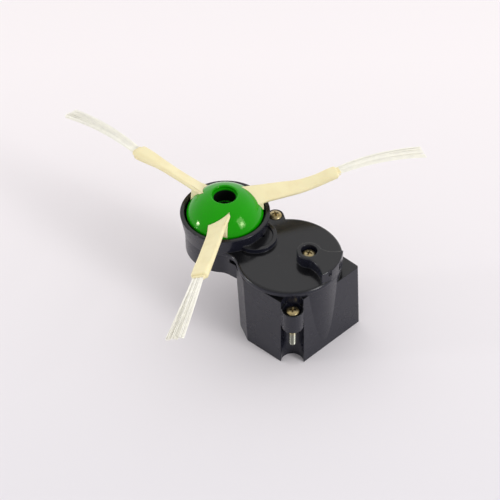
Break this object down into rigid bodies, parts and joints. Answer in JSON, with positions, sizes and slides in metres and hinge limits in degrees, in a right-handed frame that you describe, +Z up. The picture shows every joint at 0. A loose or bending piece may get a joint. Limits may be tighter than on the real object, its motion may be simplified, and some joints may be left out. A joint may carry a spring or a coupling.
{
  "type": "robot vacuum side brush module",
  "caption": "Side brush module of a robot vacuum: pitched arms with bristle tufts on a domed hub, turned in a cup by a geared motor in a stepped housing.",
  "frame": {"origin": "on the motor axis, in the base plane of the housing", "axes": "+Z up along the brush axis, +X from the brush towards the closed end of the housing"},
  "size_m": [0.1306, 0.141, 0.0581],
  "materials": {
    "housing_plastic": "dark grey moulded plastic, satin",
    "inner_plastic": "dark moulded plastic",
    "gear_plastic": "natural white acetal",
    "hub_plastic": "bright green, glossy",
    "arm_elastomer": "cream elastomer, matte",
    "bristle": "pale translucent nylon",
    "yellow_zinc": "steel, yellow zinc plated",
    "black_steel": "steel, black oxide",
    "steel": "bright steel",
    "ferrite": "sintered ferrite",
    "copper": "enamelled copper",
    "bronze": "sintered bronze and brass",
    "contact_metal": "nickel plated strip"
  },
  "bodies": {
    "module": {"motor_housing": "housing_plastic", "gear_cover": "housing_plastic", "gear_deck": "inner_plastic", "motor_end_cap": "inner_plastic", "cover_screw": "yellow_zinc", "rear_screw": "yellow_zinc", "mounting_screw": "yellow_zinc", "motor_can": "steel", "first_axle": "steel", "second_axle": "steel", "motor_screws": "steel", "motor_magnets": "ferrite", "motor_bush_front": "bronze", "motor_bush_rear": "bronze", "output_bush": "bronze", "motor_terminals": "contact_metal", "contact_strip_front": "contact_metal", "contact_strip_rear": "contact_metal"},
    "brush": {"output_gear": "gear_plastic", "brush_hub": "hub_plastic", "hub_sleeve": "inner_plastic", "hub_screw": "black_steel", "brush_arm_1": "arm_elastomer", "brush_arm_2": "arm_elastomer", "brush_arm_3": "arm_elastomer", "bristle_tuft_1": "bristle", "bristle_tuft_2": "bristle", "bristle_tuft_3": "bristle"},
    "second_stage": {"second_gear": "gear_plastic"},
    "first_stage": {"first_gear": "gear_plastic"},
    "rotor": {"motor_shaft": "steel", "motor_armature": "steel", "motor_windings": "copper", "motor_commutator": "copper", "motor_pinion": "bronze"}
  },
  "joints": [
    {"name": "brush_spin", "type": "hinge", "parent": "module", "child": "brush", "pos_m": [-0.03039, -0.00261, 0.0415], "axis": [0, 0, 1], "continuous": true},
    {"name": "second_gear_spin", "type": "hinge", "parent": "module", "child": "second_stage", "pos_m": [-0.01634, -0.0014, 0.03], "axis": [0, 0, 1], "continuous": true},
    {"name": "first_gear_spin", "type": "hinge", "parent": "module", "child": "first_stage", "pos_m": [-0.00669, -0.00689, 0.03], "axis": [0, 0, 1], "continuous": true},
    {"name": "motor_spin", "type": "hinge", "parent": "module", "child": "rotor", "pos_m": [0, 0, 0.02], "axis": [0, 0, 1], "continuous": true}
  ],
  "couplings": [
    {"joint": "second_gear_spin", "follows": "brush_spin", "ratio": -3.2727},
    {"joint": "first_gear_spin", "follows": "brush_spin", "ratio": 8.8364},
    {"joint": "motor_spin", "follows": "brush_spin", "ratio": -19.44}
  ]
}
